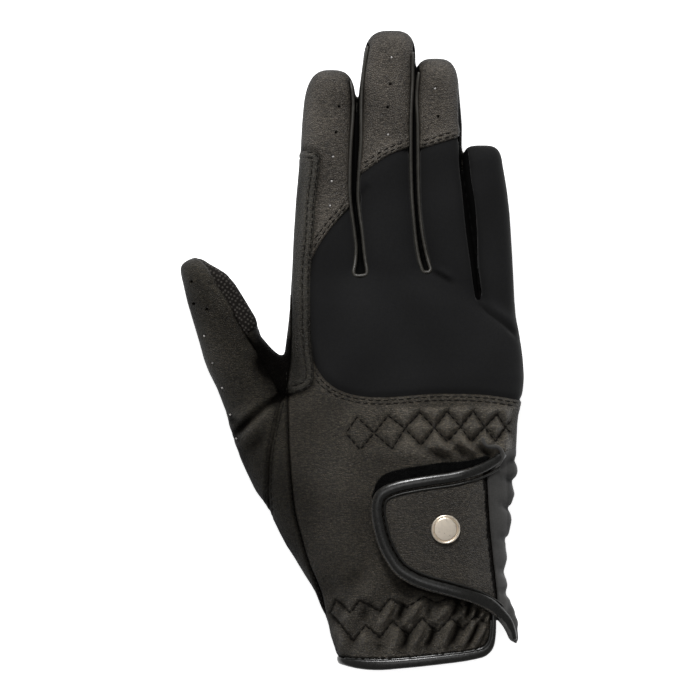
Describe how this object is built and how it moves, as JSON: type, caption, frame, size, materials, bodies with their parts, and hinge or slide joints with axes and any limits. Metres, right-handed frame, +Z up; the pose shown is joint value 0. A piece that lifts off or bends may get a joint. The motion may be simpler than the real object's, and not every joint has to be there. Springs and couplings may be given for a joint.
{
  "type": "horse riding glove",
  "caption": "Right-hand riding glove lying palm down: leather palm and fingertips, stretch back, gathered wrist with a bound tab and round snap.",
  "frame": {"origin": "under the middle of the glove's box, on the surface that the palm lies on", "axes": "+Y from the cuff to the fingertips, +Z up from the palm to the back of the hand, the thumb on the -X side"},
  "size_m": [0.126, 0.2394, 0.0289],
  "materials": {
    "palm_leather": "matte dark synthetic leather with a fine pebbled grain",
    "back_leather": "matte black-brown synthetic leather with a fine pebbled grain",
    "tip_leather": "lighter, slightly worn synthetic leather with a fine pebbled grain",
    "grip": "black grip fabric with small raised dots",
    "stretch_fabric": "matte black fine-knit stretch fabric",
    "grey_stretch": "smooth dark grey stretch fabric",
    "edge_binding": "glossy black folded edge binding",
    "pile": "fuzzy black hook and loop pile",
    "nickel": "brushed champagne nickel"
  },
  "bodies": {
    "root": {"palm": "palm_leather", "thumb_front": "palm_leather", "side_gusset": "palm_leather", "thumb_back": "back_leather", "index_strip": "back_leather", "back_leather": "back_leather", "index_back": "tip_leather", "middle_tip": "tip_leather", "ring_tip": "tip_leather", "wrist_tab": "tip_leather", "thumb_grip": "grip", "back_stretch": "stretch_fabric", "side_wall_index": "stretch_fabric", "side_wall_middle": "stretch_fabric", "side_wall_ring": "stretch_fabric", "tab_root": "grey_stretch", "piping_index": "edge_binding", "piping_middle": "edge_binding", "cuff_binding": "edge_binding", "tab_binding": "edge_binding", "loop_pile": "pile", "hook_pile": "pile", "snap": "nickel"}
  },
  "joints": []
}
